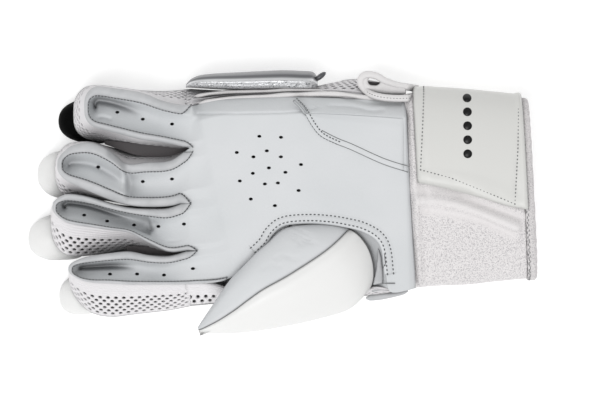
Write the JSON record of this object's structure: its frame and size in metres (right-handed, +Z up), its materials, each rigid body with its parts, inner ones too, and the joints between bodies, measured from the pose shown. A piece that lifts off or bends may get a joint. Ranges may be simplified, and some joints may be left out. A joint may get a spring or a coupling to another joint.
{
  "type": "cricket batting glove",
  "caption": "Left-hand cricket batting glove lying palm up, with padded rolls on the back, knit side walls, a leather palm and a towelling cuff closed by a wide strap.",
  "frame": {"origin": "middle of the underside, on the surface that the glove lies on", "axes": "+X from the fingertips towards the wrist, +Y towards the little-finger side, +Z up, out of the palm"},
  "size_m": [0.2668, 0.1372, 0.0626],
  "materials": {
    "palm_leather": "fine grained matt leather",
    "rim_leather": "rolled matt leather",
    "knit": "open warp knit",
    "white_padding": "smooth coated cover",
    "black_padding": "smooth coated cover",
    "silver_cover": "metallic coated cover",
    "towelling": "looped towelling",
    "strap_cover": "smooth coated strap",
    "backing": "woven backing"
  },
  "bodies": {
    "root": {"palm_leather": "palm_leather", "palm_heel_patch": "palm_leather", "thumb_arch_binding": "rim_leather", "finger_rim_little": "rim_leather", "finger_rim_ring": "rim_leather", "finger_rim_middle": "rim_leather", "finger_rim_index": "rim_leather", "finger_wall_little": "knit", "finger_wall_ring": "knit", "finger_wall_middle": "knit", "finger_wall_index": "knit", "ulnar_wall": "knit", "radial_wall": "knit", "back_panel": "backing", "finger_roll_little_tip": "black_padding", "finger_roll_little_middle": "white_padding", "finger_roll_little_base": "white_padding", "finger_roll_ring_tip": "white_padding", "finger_roll_ring_middle": "white_padding", "finger_roll_ring_base": "white_padding", "finger_roll_middle_tip": "white_padding", "finger_roll_middle_middle": "white_padding", "finger_roll_middle_base": "white_padding", "finger_roll_index_tip": "white_padding", "finger_roll_index_middle": "white_padding", "finger_roll_index_base": "white_padding", "knuckle_roll_little": "white_padding", "knuckle_roll_ring": "white_padding", "knuckle_roll_middle": "white_padding", "knuckle_roll_index": "white_padding", "back_pad_little": "white_padding", "back_pad_ring": "white_padding", "back_pad_middle": "white_padding", "back_pad_index": "white_padding", "side_bar": "silver_cover", "thumb_leather": "palm_leather", "thumb_pad": "white_padding", "thumb_gusset": "knit", "cuff": "towelling", "cuff_edge_band": "towelling", "wrist_strap": "strap_cover", "wrist_loop": "knit"}
  },
  "joints": []
}
